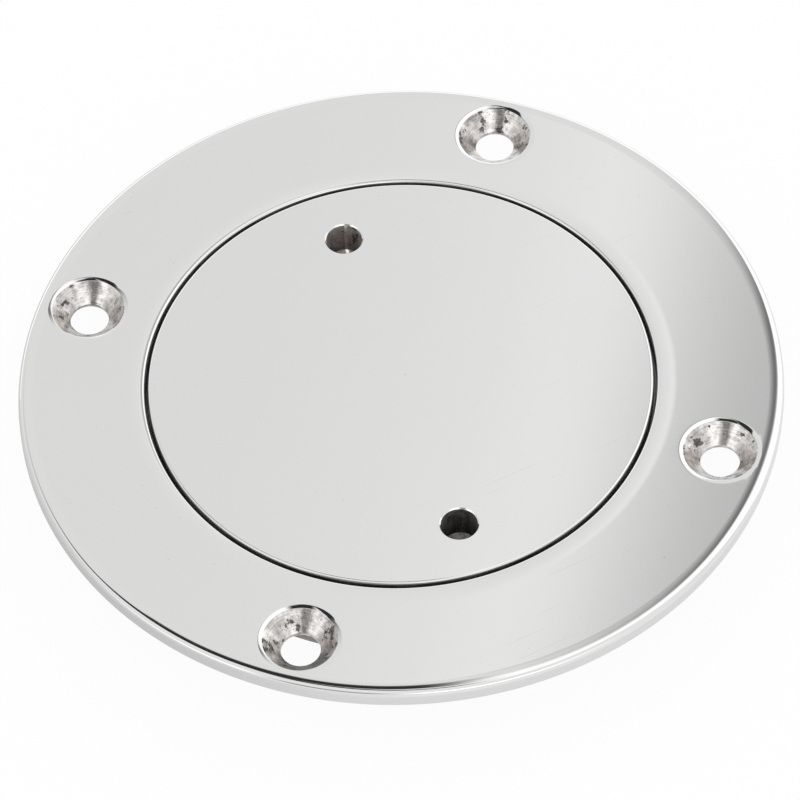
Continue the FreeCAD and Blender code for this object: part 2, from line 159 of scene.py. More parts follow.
class CoverSizes(bpy.types.PropertyGroup):
    """Sizes of the cover."""

    head_radius: length("Head radius", "Radius of the cover's head", 41.3045 * MM)
    top: length("Top", "Height of the head's top", COVER_HIGH.z)
    head_thickness: length("Head thickness", "Thickness of the head", 3.2 * MM)
    foot: length("Foot", "Height of the skirt's lower end", COVER_LOW.z)
    head_round: length("Head rounding", "Radius of the head's upper edge", 0.5 * MM)
    neck_relief: length("Neck relief", "How far the neck lies inside the thread's root", 0.2 * MM)
    neck_length: length("Neck length", "Length of the neck that carries the sealing ring", 2.5 * MM)
    skirt_wall: length("Skirt wall", "Thickness of the skirt under the thread", 3.6 * MM)
    cup_fillet: length("Cup fillet", "Fillet round the hollow's floor", 1.0 * MM)
    turn: angle("Turn", "Turn of the key sockets from the Y axis", -10.3)
    key_radius: length("Key radius", "Distance of the key sockets from the middle", 31.0762 * MM)
    socket_radius: length("Socket radius", "Radius of a key socket", MOUNTS["key_socket_far"]["r_mm"] * MM)
    socket_depth: length("Socket depth", "Depth of a key socket's straight wall", 6.5 * MM)
    socket_break: length("Socket edge break", "Chamfer at the mouth of a key socket", 0.2 * MM)
    drill_angle: angle("Drill angle", "Full angle of the drill point", 118)
    boss_wall: length("Boss wall", "Wall of the boss round a key socket", 2.5 * MM)
    boss_floor: length("Boss floor", "Metal under a drill point", 1.7 * MM)
    boss_blend: length("Boss blend", "Radius between a boss and the hollow's wall", 1.5 * MM)
    boss_root: length("Boss root", "How far a boss reaches into the hollow's wall", 1.6 * MM)
    segments: count("Segments", "Segments round the cover", 384)
    socket_segments: count("Socket segments", "Segments round a key socket", 72)


class SealSizes(bpy.types.PropertyGroup):
    """Sizes of the sealing ring."""

    section: length("Section", "Thickness of the ring", SEAL_HIGH.z - SEAL_LOW.z)
    outer_radius: length("Outer radius", "Outer radius of the ring", SEAL_HIGH.x)
    height: length("Height", "Height of the ring's middle", (SEAL_HIGH.z + SEAL_LOW.z) / 2)
    flash: length("Flash", "Depth of the moulding line", 0.03 * MM)
    segments: count("Segments", "Segments round the ring", 256)
    section_steps: count("Section segments", "Segments round the ring's section", 32)


class FinishSettings(bpy.types.PropertyGroup):
    """Colours and gloss of the steel and the rubber."""

    steel: tint("Steel", "Colour of the polished steel", (0.80, 0.80, 0.798))
    # the rim wall's colour is painted shade: a darker, tinted copy of the steel put on upright faces
    wall: tint("Rim wall", "Colour of the polished rim, seen edge on", (0.750, 0.738, 0.742))
    cone_pale: tint("Pale cone", "Palest colour of the countersinks", (0.86, 0.835, 0.815))
    cone_dark: tint("Dark cone", "Darkest colour of the countersinks", (0.21, 0.19, 0.18))
    socket_pale: tint("Pale socket", "Palest colour of the key sockets", (0.74, 0.70, 0.67))
    socket_dark: tint("Dark socket", "Darkest colour of the key sockets", (0.38, 0.35, 0.33))
    # partly the turned finish and partly painted shade: the colour is darkened for the collar in shade under
    # the flange
    machined_and_shade: tint("Machined steel", "Colour of the turned underside", (0.42, 0.412, 0.40))
    # partly the dull finish and partly painted shade: the gap's walls are darkened as shade between cover and
    # ring
    gap: tint("Gap", "Colour of the dull walls of the gap round the cover", (0.38, 0.372, 0.365))
    rubber: tint("Rubber", "Colour of the sealing ring", (0.020, 0.020, 0.021))
    polish: share("Polish", "Roughness of the polished steel", 0.045)
    bored_rough: share("Bored roughness", "Roughness of the countersinks", 0.09)
    socket_rough: share("Socket roughness", "Roughness of the key sockets' walls", 0.62)
    point_rough: share("Drill point roughness", "Roughness of the key sockets' drill points", 0.35)
    gap_rough: share("Gap roughness", "Roughness of the walls of the gap", 0.55)
    machined_rough: share("Machined roughness", "Roughness of the turned underside", 0.27)


class StudioSettings(bpy.types.PropertyGroup):
    """Camera, floor and light."""

    azimuth: angle("Azimuth", "Angle by which the camera's view is turned from the Y axis", 25.639)
    elevation: angle("Elevation", "Height of the camera above the level", 52.361)
    roll: angle("Roll", "Lean of the camera", -2.869)
    distance: length("Distance", "Distance from the camera to the point that it looks at", 893.0 * MM)
    aim_right: length("Aim right", "Place of that point to the right of the axis", -0.255 * MM)
    aim_away: length("Aim away", "Place of that point behind the axis", -4.469 * MM)
    focal_share: bpy.props.FloatProperty(
        name="Focal share",
        description="Focal length as a multiple of the picture's width",
        default=5490.6 / 800,
    )
    floor_size: length("Floor size", "Width of the floor", 3.0)
    floor_white: share("Floor white", "Share of the floor that shows plain white", 0.95)
    floor_mirrored: share("Mirrored floor white", "The same share, as the steel mirrors it", 0.6)


# Node helpers


def is_socket(source):
    """Tell a socket from a plain value."""
    return isinstance(source, bpy.types.NodeSocket)


def feed(node, inputs):
    """Feed a node's inputs, by name or number, from sockets or plain values."""
    for name, source in dict(inputs).items():
        if is_socket(source):
            node.id_data.links.new(source, node.inputs[name])
        else:
            node.inputs[name].default_value = source


def add_node(kind, inputs, tree=None, **options):
    """Add a node to a tree, or to that of the sockets that feed it, set its options and feed its inputs."""
    inputs = dict(inputs)
    tree = tree or next(source.id_data for source in inputs.values() if is_socket(source))
    node = tree.nodes.new(kind)
    for name, value in options.items():
        setattr(node, name, value)
    feed(node, inputs)
    return node


def source_node(tree, kind):
    """Add a node that nothing feeds, and give its outputs."""
    return add_node(kind, (), tree).outputs


def math_node(operation, *values, clamp=False):
    """Add a math node on sockets or numbers."""
    node = add_node("ShaderNodeMath", enumerate(values), operation=operation, use_clamp=clamp)
    return node.outputs[0]


def multiply(first, second):
    """Multiply two values."""
    return math_node("MULTIPLY", first, second)


def add(first, second):
    """Add two values."""
    return math_node("ADD", first, second)


def subtract(first, second):
    """Subtract one value from another."""
    return math_node("SUBTRACT", first, second)


def vector_node(operation, *vectors):
    """Add a vector math node."""
    node = add_node("ShaderNodeVectorMath", enumerate(vectors), operation=operation)
    return node.outputs["Value" if operation in {"DOT_PRODUCT", "LENGTH"} else "Vector"]


def dot(vector, direction):
    """How far a vector reaches in a direction."""
    return vector_node("DOT_PRODUCT", vector, direction)


def join_xyz(x, y, z):
    """Join three values into a vector."""
    return add_node("ShaderNodeCombineXYZ", {"X": x, "Y": y, "Z": z}).outputs["Vector"]


def remap(value, limits=(0.0, 1.0), result=(0.0, 1.0), shape="LINEAR"):
    """Carry a value from one range over to another, and hold it there."""
    node = add_node("ShaderNodeMapRange", {"Value": value}, interpolation_type=shape, clamp=True)
    feed(node, zip(("From Min", "From Max", "To Min", "To Max"), (*limits, *result)))
    return node.outputs["Result"]


def fade(value, low, high):
    """Smoothly go from 0 at one value to 1 at another."""
    result = (0.0, 1.0) if high > low else (1.0, 0.0)
    return remap(value, sorted((low, high)), result, "SMOOTHSTEP")


def span(value, low, high):
    """Spread a value from 0 to 1 over a range."""
    return remap(value, result=(low, high))


def tone_ramp(value, low, high, stops):
    """Turn a value into a tone through a ramp between two limits."""
    ramp = add_node("ShaderNodeValToRGB", {"Fac": remap(value, (low, high))})
    elements = ramp.color_ramp.elements
    while len(elements) < len(stops):
        elements.new(0.5)
    for element, (position, tone) in zip(elements, stops):
        element.position = (position - low) / (high - low)
        element.color = (tone, tone, tone, 1.0)
    return ramp.outputs["Color"]


def mix_values(factor, first, second):
    """Blend two values."""
    inputs = {"Factor": factor, 2: first, 3: second}
    return add_node("ShaderNodeMix", inputs, data_type="FLOAT").outputs[0]


def mix_colours(factor, first, second):
    """Blend two colours or colour sockets."""
    first, second = (c if is_socket(c) else (*c, 1.0) for c in (first, second))
    inputs = {"Factor": factor, 6: first, 7: second}
    return add_node("ShaderNodeMix", inputs, data_type="RGBA").outputs[2]


def shaded(colour, factor):
    """A colour made darker or paler by a factor."""
    return [channel * factor for channel in colour]


def lay_colours(colour, *layers):
    """Lay colours over a colour, each by its own mask."""
    for mask, layer in layers:
        colour = mix_colours(mask, colour, layer)
    return colour


def mix_shaders(factor, first, second):
    """Blend two shaders."""
    return add_node("ShaderNodeMixShader", {"Fac": factor, 1: first, 2: second}).outputs["Shader"]


def noise(place, scale, detail=3.0, roughness=0.55):
    """Add a noise texture and give its value."""
    inputs = {"Vector": place, "Scale": scale, "Detail": detail, "Roughness": roughness}
    return add_node("ShaderNodeTexNoise", inputs).outputs["Fac"]


def bump(height, strength, distance):
    """Add a bump of a height field, whose depth is in metres."""
    inputs = {"Strength": strength, "Distance": distance, "Height": height}
    return add_node("ShaderNodeBump", inputs).outputs["Normal"]


def polar(place, around, along, upwards):
    """Stretch a place about the Z axis: its turn, distance and height, each to its own scale."""
    x, y, z = add_node("ShaderNodeSeparateXYZ", {"Vector": place}).outputs
    turn = math_node("ARCTAN2", y, x)
    distance = vector_node("LENGTH", join_xyz(x, y, 0.0))
    scaled = zip((turn, distance, z), (around, along, upwards))
    return join_xyz(*[multiply(value, scale) for value, scale in scaled])


# Modelling steps

SMOOTH_BELOW = math.radians(28)


def set_mode(mode):
    """Go into edit mode or back to object mode."""
    bpy.ops.object.mode_set(mode=mode)


def pick(piece):
    """Select one object alone and make it active."""
    bpy.ops.object.select_all(action="DESELECT")
    piece.select_set(True)
    bpy.context.view_layer.objects.active = piece


def outline_piece(name, points, closed=True):
    """Draw a line through points, from one vertex that is moved and extruded."""
    bpy.ops.object.select_all(action="DESELECT")
    bpy.ops.mesh.primitive_plane_add(size=MM, location=(0, 0, 0))
    piece = bpy.context.active_object
    piece.name = name
    piece.data.name = name
    set_mode("EDIT")
    bpy.ops.mesh.select_mode(type="VERT")
    bpy.ops.mesh.select_all(action="SELECT")
    bpy.ops.mesh.merge(type="CENTER")
    bpy.ops.transform.translate(value=points[0])
    for before, after in zip(points, points[1:]):
        step = Vector(after) - Vector(before)
        bpy.ops.mesh.extrude_region_move(TRANSFORM_OT_translate={"value": step})
    set_mode("OBJECT")
    if closed:
        ends = (Vector(points[0]), Vector(points[-1]))
        join_vertices(piece, lambda vertex: min((vertex.co - end).length for end in ends) < SAME)
    return piece


def choose_vertices(piece, chosen):
    """Go into edit mode with only the vertices selected that a test chooses."""
    pick(piece)
    set_mode("EDIT")
    bpy.ops.mesh.select_mode(type="VERT")
    bpy.ops.mesh.select_all(action="DESELECT")
    set_mode("OBJECT")
    for vertex in piece.data.vertices:
        vertex.select = chosen(vertex)
    set_mode("EDIT")


def join_vertices(piece, chosen):
    """Put an edge or a face across the vertices that a test chooses."""
    choose_vertices(piece, chosen)
    bpy.ops.mesh.edge_face_add()
    set_mode("OBJECT")


def at_height(*heights):
    """A test that chooses the vertices at some heights."""
    return lambda vertex: any(abs(vertex.co.z - height) < SAME for height in heights)


def upright(section):
    """Stand a section of radius and height up in the XZ plane."""
    return [(radius, 0.0, height) for radius, height in section]


def arc(centre, radius, start, end, steps):
    """Points of a section along an arc, from one angle to another in degrees."""
    angles = [math.radians(start + (end - start) * n / steps) for n in range(steps + 1)]
    return [(centre[0] + radius * math.cos(a), centre[1] + radius * math.sin(a)) for a in angles]


def rounded_shoulder(level, low, rounding, steps, round_steps):
    """Points of a section from where it is level, down a wide arc and a small round, to an upright wall."""
    run = low[0] - level[0]
    fall = level[1] - low[1]
    radius = (run * run + fall * fall) / (2 * fall)
    outward = math.copysign(1, run)
    centre_x = low[0] - outward * rounding
    gap = radius - rounding
    sweep = math.asin((centre_x - level[0]) / gap)
    centre_z = level[1] - radius + gap * math.cos(sweep)
    tilt = math.degrees(sweep)
    wide = arc((level[0], level[1] - radius), radius, 90, 90 - tilt, steps)
    tight = arc((centre_x, centre_z), rounding, 90 - tilt, 0 if outward > 0 else 180, round_steps)
    return wide + tight[1:]


def close_surface():
    """Merge doubles and turn all faces outwards, then leave edit mode."""
    bpy.ops.mesh.select_all(action="SELECT")
    bpy.ops.mesh.remove_doubles(threshold=SAME)
    bpy.ops.mesh.select_all(action="SELECT")
    bpy.ops.mesh.normals_make_consistent(inside=False)
    set_mode("OBJECT")


def turned_piece(name, section, segments):
    """Turn a section about the Z axis into a solid; one that starts and ends on the axis stays open."""
    piece = outline_piece(name, upright(section), closed=section[0][0] > 0)
    set_mode("EDIT")
    bpy.ops.mesh.select_all(action="SELECT")
    bpy.ops.mesh.spin(steps=segments, angle=math.tau, center=(0, 0, 0), axis=(0, 0, 1))
    close_surface()
    return piece


def apply_modifier(piece, kind, **settings):
    """Add a modifier, set it and apply it."""
    pick(piece)
    bpy.ops.object.modifier_add(type=kind)
    modifier = piece.modifiers[-1]
    for name, value in settings.items():
        setattr(modifier, name, value)
    bpy.ops.object.modifier_apply(modifier=modifier.name)


def combine(piece, tool, operation):
    """Cut a piece with a tool or add the tool to it; the tool is used up."""
    apply_modifier(piece, "BOOLEAN", object=tool, operation=operation, solver="EXACT")
    pick(tool)
    bpy.ops.object.delete()


def join_pieces(pieces):
    """Join objects into the first of them."""
    bpy.ops.object.select_all(action="DESELECT")
    for piece in pieces:
        piece.select_set(True)
    bpy.context.view_layer.objects.active = pieces[0]
    bpy.ops.object.join()
    return pieces[0]


def round_places(radius, start, number):
    """Angles and places of things that stand evenly round the Z axis."""
    turns = [start + math.tau * order / number for order in range(number)]
    return [(turn, Vector((radius * math.cos(turn), radius * math.sin(turn), 0))) for turn in turns]


def spread_round(piece, places):
    """Stand a piece and copies of it at places round the Z axis, and join them."""
    copies = [piece]
    for _ in places[1:]:
        pick(piece)
        bpy.ops.object.duplicate(linked=False)
        copies.append(bpy.context.active_object)
    for copy, (turn, place) in zip(copies, places):
        pick(copy)
        copy.rotation_euler.z = turn
        copy.location = place
        bpy.ops.object.transform_apply(location=True, rotation=True, scale=True)
    return join_pieces(copies)


def from_nearest(place, places):
    """Distance of a place from the nearest of the upright axes at some places."""
    return min((place.xy - axis.xy).length for turn, axis in places)


def thread_depth(thread):
    """Depth of the thread from its root and crest flats."""
    return (thread.pitch - thread.crest_flat - thread.root_flat) / 2 / math.tan(thread.flank)


def groove_section(root, root_flat, mouth, thread):
    """Section of the form that cuts a thread's groove, from its inner end outwards and back."""
    half_root = root_flat / 2
    half_mouth = half_root + abs(mouth - root) * math.tan(thread.flank)
    (inner, half_inner), (outer, half_outer) = sorted(((root, half_root), (mouth, half_mouth)))
    return [(inner, -half_inner), (outer, -half_outer), (outer, half_outer), (inner, half_inner)]


def thread_tool(name, section, start, end, turn, thread):
    """Wind a section up a right-hand helix, from one height to another, into the solid that cuts a thread."""
    tool = outline_piece(name, upright([(radius, height + start) for radius, height in section]))
    turns = (end - start) / thread.pitch
    steps = round(thread.steps * turns)
    helix = {"angle": math.tau * turns, "screw_offset": end - start, "steps": steps, "render_steps": steps}
    apply_modifier(tool, "SCREW", axis="Z", use_smooth_shade=False, **helix)
    corners = len(section)
    last = len(tool.data.vertices) - corners
    join_vertices(tool, lambda vertex: vertex.index < corners)
    join_vertices(tool, lambda vertex: vertex.index >= last)
    set_mode("EDIT")
    close_surface()
    tool.rotation_euler.z = turn
    pick(tool)
    bpy.ops.object.transform_apply(location=False, rotation=True, scale=False)
    return tool


def paint(piece, materials, chooser):
    """Give each face the material whose name a test gives for the face's centre."""
    for material in materials.values():
        piece.data.materials.append(material)
    order = list(materials)
    for face in piece.data.polygons:
        face.material_index = order.index(chooser(face.center))


def finish_piece(piece, body, node):
    """Shade a piece, let it ride on its body and let it stand for its solid."""
    pick(piece)
    bpy.ops.object.shade_smooth_by_angle(angle=SMOOTH_BELOW)
    apply_modifier(piece, "WEIGHTED_NORMAL", mode="FACE_AREA", weight=100, keep_sharp=True)
    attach(piece, body)
    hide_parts(node)


# Ring

CONE_SLOPE = 45  # degrees, half of a countersink's angle


def ring_section(ring, thread):
    """Closed section of the flange and collar."""
    bore = thread.root_radius - thread_depth(thread)
    opening_level = (ring.recess_radius + ring.opening_shoulder, ring.top)
    opening_low = (ring.recess_radius, ring.top - ring.opening_fall)
    opening = rounded_shoulder(opening_level, opening_low, ring.opening_round, steps=6, round_steps=8)
    rim_level = (ring.outer_radius - ring.rim_shoulder, ring.top)
    rim_low = (ring.outer_radius, ring.top - ring.rim_fall)
    rim = rounded_shoulder(rim_level, rim_low, ring.rim_round, steps=8, round_steps=12)
    lower = ring.rim_lower_round
    rim_foot = arc((ring.outer_radius - lower, lower), lower, 0, -90, steps=8)
    fillet = ring.collar_fillet
    root = arc((ring.collar_radius + fillet, -fillet), fillet, 90, 180, steps=8)
    edge = ring.collar_round
    collar_foot = arc((ring.collar_radius - edge, ring.foot + edge), edge, 0, -90, steps=6)
    seat_foot_height = ring.ledge - ring.seat_drop
    inside = [
        (bore + thread.chamfer, ring.foot),
        (bore, ring.foot + thread.chamfer),
        (bore, seat_foot_height - (ring.seat_foot - bore)),
        (ring.seat_foot, seat_foot_height),
        (ring.seat_mouth, ring.ledge),
        (ring.recess_radius, ring.ledge),
    ]
    return opening[::-1] + rim + rim_foot + root + collar_foot + inside


def screw_hole_section(holes, top):
    """Section of the form that cuts one countersunk hole and its buffed lip."""
    over = 0.04 * MM
    steep, shallow = holes.lip_slope, holes.lip_slope - holes.lip_sweep
    to_steep = Vector((math.sin(steep), -math.cos(steep)))
    to_shallow = Vector((math.sin(shallow), -math.cos(shallow)))
    steep_end, shallow_end = 90 + math.degrees(steep), 90 + math.degrees(shallow)
    inner = Vector((holes.mouth_radius - holes.lip_drop, top - holes.lip_drop))
    lip = arc(inner + to_steep * holes.lip_bow, holes.lip_bow, steep_end, shallow_end, steps=6)
    centre = Vector(lip[-1]) + to_shallow * holes.lead_round
    lead_in = arc(centre, holes.lead_round, shallow_end, 90 + math.degrees(holes.lead_slope), steps=5)
    edge = arc(inner + to_steep * holes.lip_round, holes.lip_round, 90 + CONE_SLOPE, steep_end, steps=5)
    outer = lead_in[-1][0] + (top + over - lead_in[-1][1]) / math.tan(holes.lead_slope)
    cone_foot = edge[0][1] - (edge[0][0] - holes.hole_radius) * math.tan(math.radians(CONE_SLOPE))
    hole = [(0, -over), (holes.hole_radius, -over), (holes.hole_radius, cone_foot)]
    return hole + edge + lip[1:] + lead_in[1:] + [(outer, top + over), (0, top + over)]


def make_ring(scene):
    """Turn the ring, cut its thread and its screw holes."""
    ring, thread, holes = scene.deckplate_ring, scene.deckplate_thread, scene.deckplate_holes
    piece = turned_piece("flange_ring", ring_section(ring, thread), ring.segments)
    mouth = thread.root_radius - thread_depth(thread) - thread.overshoot
    groove = groove_section(thread.root_radius, thread.root_flat, mouth, thread)
    start = ring.foot - thread.pitch
    combine(piece, thread_tool("ring_thread_tool", groove, start, ring.top, 0.0, thread), "DIFFERENCE")
    places = round_places(holes.circle / 2, holes.start, holes.number)
    tool = turned_piece("screw_hole_tool", screw_hole_section(holes, ring.top), holes.segments)
    combine(piece, spread_round(tool, places), "DIFFERENCE")
    cone_mouth = holes.mouth_radius - holes.lip_drop + 2 * HAIR
    cone_top = ring.top - holes.lip_drop
    gap_mouth = ring.recess_radius + 0.4 * MM
    gap_foot, gap_top = ring.ledge - HAIR, ring.top - 0.28 * MM
    flange_inner = ring.recess_radius - 0.05 * MM

    def finish_at(place):
        if from_nearest(place, places) < cone_mouth and HAIR < place.z < cone_top:
            return "countersunk_steel"
        if place.xy.length < gap_mouth and gap_foot < place.z < gap_top:
            return "dull_steel"
        if place.xy.length > flange_inner and place.z > 2 * HAIR:
            return "polished_steel"
        return "turned_steel"

    names = ("polished_steel", "countersunk_steel", "dull_steel", "turned_steel")
    paint(piece, finish_materials(scene, names), finish_at)
    finish_piece(piece, "deck_ring", "deck_ring")


class DECKPLATE_OT_ring(bpy.types.Operator):
    """Model the flange ring with its collar, thread and countersunk screw holes"""

    bl_idname = "deckplate.ring"
    bl_label = "Flange ring"

    def execute(self, context):
        make_ring(context.scene)
        return {"FINISHED"}


# Cover


def cover_radii(cover, thread):
    """Radii of the cover's thread at its crest and its root, and of the hollow under the head."""
    crest = thread.root_radius - thread.clearance
    root = crest - thread_depth(thread)
    return crest, root, root - cover.skirt_wall


def cover_section(cover, thread):
    """Closed section of the head, neck and skirt, from the axis outwards and back."""
    crest, root, cup = cover_radii(cover, thread)
    neck = root - cover.neck_relief
    underside = cover.top - cover.head_thickness
    edge = cover.head_round
    head = arc((cover.head_radius - edge, cover.top - edge), edge, 90, 0, steps=8)
    fillet = cover.cup_fillet
    cup_floor = arc((cup - fillet, underside - fillet), fillet, 0, 90, steps=8)
    neck_foot = underside - cover.neck_length
    skirt = [
        (cover.head_radius, underside),
        (neck, underside),
        (neck, neck_foot),
        (crest, neck_foot - (crest - neck)),
        (crest, cover.foot + thread.chamfer),
        (crest - thread.chamfer, cover.foot),
        (cup, cover.foot),
    ]
    return [(0, cover.top)] + head + skirt + cup_floor + [(0, underside)]


def boss_outline(cover, cup, grow, height):
    """Outline of a key boss and its blends into the hollow's wall, grown by the floor's fillet."""
    boss = cover.socket_radius + cover.boss_wall + grow
    blend = cover.boss_blend - grow
    reach = cup - cover.boss_blend
    side = cover.key_radius
    bend = boss + blend
    turn = math.acos((side * side + reach * reach - bend * bend) / (2 * side * reach))
    heart = Vector((reach * math.cos(turn), reach * math.sin(turn)))
    to_boss = math.degrees(math.atan2(-heart.y, side - heart.x))
    from_boss = to_boss + 180
    near = arc(heart, blend, math.degrees(turn), to_boss, steps=6)
    round_boss = arc((side, 0), boss, from_boss, 360 - from_boss, steps=28)
    far = [(x, -y) for x, y in near[::-1]]
    buried = cup + cover.boss_root
    ends = [(buried * math.cos(turn), buried * math.sin(turn) * s) for s in (-1, 1)]
    return [(x, y, height) for x, y in near + round_boss[1:-1] + far + ends]


def boss_tool(cover, cup, underside, foot):
    """A key boss with its blends, and a flare for the fillet of the hollow's floor."""
    fillet = cover.cup_fillet
    flare_steps, flare_end = 6, math.radians(84)
    levels = [(foot, 0.0)]
    for step in range(flare_steps + 1):
        bend = flare_end * step / flare_steps
        levels.append((underside - fillet + fillet * math.sin(bend), fillet * (1 - math.cos(bend))))
    levels.append((underside + 1.2 * MM, levels[-1][1]))
    outlines = [boss_outline(cover, cup, grow, height) for height, grow in levels]
    tool = join_pieces([outline_piece("boss_loop", outline) for outline in outlines])
    tool.name = "boss_tool"
    heights = [height for height, grow in levels]
    for pair in zip(heights, heights[1:]):
        choose_vertices(tool, at_height(*pair))
        bpy.ops.mesh.bridge_edge_loops()
        set_mode("OBJECT")
    join_vertices(tool, at_height(heights[0]))
    join_vertices(tool, at_height(heights[-1]))
    set_mode("EDIT")
    close_surface()
    return tool


def make_cover(scene):
    """Turn the cover, cut its thread, add the key bosses and drill the key sockets."""
    cover, thread = scene.deckplate_cover, scene.deckplate_thread
    crest, root, cup = cover_radii(cover, thread)
    underside = cover.top - cover.head_thickness
    piece = turned_piece("screw_cover", cover_section(cover, thread), cover.segments)
    groove = groove_section(root, thread.crest_flat, crest + thread.overshoot, thread)
    start = RING_LOW.z - thread.pitch + thread.pitch * (cover.turn / math.tau - 0.5)
    run_out = underside - cover.neck_length * 0.6
    combine(piece, thread_tool("cover_thread_tool", groove, start, run_out, cover.turn, thread), "DIFFERENCE")
    far_turn = cover.turn + math.pi / 2
    socket_foot = cover.top - cover.socket_depth
    point = socket_foot - cover.socket_radius / math.tan(cover.drill_angle / 2)
    bosses = boss_tool(cover, cup, underside, point - cover.boss_floor)
    combine(piece, spread_round(bosses, round_places(0.0, far_turn, 2)), "UNION")
    over = 0.3 * MM
    section = [
        (0, point),
        (cover.socket_radius, socket_foot),
        (cover.socket_radius, cover.top - cover.socket_break),
        (cover.socket_radius + cover.socket_break + over, cover.top + over),
        (0, cover.top + over),
    ]
    places = round_places(cover.key_radius, far_turn, 2)
    tool = turned_piece("key_socket_tool", section, cover.socket_segments)
    combine(piece, spread_round(tool, places), "DIFFERENCE")
    socket_top = cover.top - 0.5 * cover.socket_break
    gap_inner, gap_top = cover.head_radius - 0.3 * MM, cover.top - 0.15 * MM

    def finish_at(place):
        in_socket = from_nearest(place, places) < cover.socket_radius + HAIR
        if in_socket and point - HAIR < place.z < socket_top:
            # the drill point at each socket's bottom carries painted shade
            return "drilled_steel" if place.z > socket_foot + HAIR else "drill_point_steel"
        if place.xy.length > gap_inner and underside < place.z < gap_top:
            return "dull_steel"
        return "polished_steel" if place.z > underside + 2 * HAIR else "turned_steel"

    names = ("polished_steel", "drilled_steel", "drill_point_steel", "dull_steel", "turned_steel")
    paint(piece, finish_materials(scene, names), finish_at)
    finish_piece(piece, "cover", "cover")


class DECKPLATE_OT_cover(bpy.types.Operator):
    """Model the screw-in cover with its thread, key bosses and key sockets"""

    bl_idname = "deckplate.cover"
    bl_label = "Cover"

    def execute(self, context):
        make_cover(context.scene)
        return {"FINISHED"}


# Sealing ring


def make_seal(scene):
    """Turn the sealing ring, with the shallow moulding lines that run round its outer and inner middle."""
    seal = scene.deckplate_seal
    radius = seal.section / 2
    middle = seal.outer_radius - radius
    moulding_lines = (0, seal.section_steps // 2)
    section = []
    for step in range(seal.section_steps):
        bend = math.tau * step / seal.section_steps
        reach = radius - seal.flash if step in moulding_lines else radius
        section.append((middle + reach * math.cos(bend), seal.height + reach * math.sin(bend)))
    piece = turned_piece("sealing_ring", section, seal.segments)
    paint(piece, finish_materials(scene, ("seal_rubber",)), lambda place: "seal_rubber")
    finish_piece(piece, "seal", "o_ring")


class DECKPLATE_OT_seal(bpy.types.Operator):
    """Model the rubber sealing ring"""

    bl_idname = "deckplate.seal"
    bl_label = "Sealing ring"

    def execute(self, context):
        make_seal(context.scene)
        return {"FINISHED"}


# Materials

# painted shade that darkens the near key socket, and a painted highlight streak in the far one
PAINTED_SOCKET_SHADE = (0.09, 0.09, 0.092)
PAINTED_SOCKET_HIGHLIGHT = (1.0, 0.98, 0.96)
MADE = {}  # the finishes made so far, by name; the solids' own materials may have the same names


def start_material(name, metallic=0.0):
    """Add a material with a plain shader, and give it with its shader and its place in millimetres."""
    material = bpy.data.materials.new(name)
    material.use_nodes = True
    shader = material.node_tree.nodes["Principled BSDF"]
    shader.inputs["Metallic"].default_value = metallic
    place = source_node(material.node_tree, "ShaderNodeTexCoord")["Object"]
    scaled = add_node("ShaderNodeVectorMath", {0: place, "Scale": 1 / MM}, operation="SCALE")
    return material, shader, scaled.outputs["Vector"]


def mark_group(name, inputs, outputs, fill):
    """Give a node group by name; it is made once, by a function that gives the sources of its outputs."""
    group = bpy.data.node_groups.get(name)
    if group is None:
        group = bpy.data.node_groups.new(name, "ShaderNodeTree")
        for socket, kind in inputs.items():
            group.interface.new_socket(name=socket, in_out="INPUT", socket_type=kind)
        for socket in outputs:
            group.interface.new_socket(name=socket, in_out="OUTPUT", socket_type="NodeSocketFloat")
        start = group.nodes.new("NodeGroupInput")
        end = group.nodes.new("NodeGroupOutput")
        feed(end, zip(outputs, fill(*[start.outputs[socket] for socket in inputs])))
    return group


def fill_polish_marks(place):
    """Faint haze, fine hairlines and a few specks of a buffed surface."""
    haze = noise(place, scale=0.05, detail=4.0)
    stretch = {"Vector": place, "Rotation": (0, 0, 0.6), "Scale": (0.06, 2.6, 0.3)}
    stretched = add_node("ShaderNodeMapping", stretch).outputs["Vector"]
    lines = noise(stretched, scale=1.0, detail=2.0)
    dots = noise(place, scale=2.4, detail=0.0)
    return haze, fade(lines, 0.66, 0.74), fade(dots, 0.87, 0.90)


def fill_bore_marks(place, about):
    """Mottling, tool rings, pits and stains of a drilled surface about its axis."""
    patches = noise(place, scale=0.75, detail=5.0, roughness=0.62)
    chatter = noise(polar(about, 2.6, 0.12, 0.12), scale=1.0)
    mottle = add(multiply(patches, 0.55), multiply(chatter, 0.45))
    rings = noise(polar(about, 1.1, 5.6, 5.6), scale=1.0, detail=4.0, roughness=0.7)
    pits = fade(noise(place, scale=1.6, detail=2.0), 0.70, 0.76)
    stain = fade(noise(place, scale=0.40, detail=5.0, roughness=0.62), 0.58, 0.625)
    return fade(mottle, 0.36, 0.61), rings, pits, stain


def fill_turning_marks(place):
    """Fine and wider rings that a lathe tool leaves about the Z axis, and stains between them."""
    fine = noise(polar(place, 0.35, 5.0, 5.0), scale=1.0, detail=2.0, roughness=0.5)
    wide = noise(polar(place, 0.12, 1.3, 1.3), scale=1.0, detail=3.0, roughness=0.6)
    rings = add(multiply(fine, 0.4), multiply(wide, 0.6))
    return fade(rings, 0.34, 0.62), noise(place, scale=0.12, detail=4.0, roughness=0.6)


def fill_key_painted_light(out, across, key_radius):
    """Painted shade that darkens the near key socket, and a painted highlight: a pale streak down the far
    one's wall.
    """
    painted_shade = multiply(fade(out, 5.0, -5.0), 0.62)
    beside = math_node("ABSOLUTE", add(across, 1.1))
    far_wall = fade(subtract(out, key_radius), 0.0, 1.0)
    return painted_shade, multiply(fade(beside, 0.36, 0.14), far_wall)


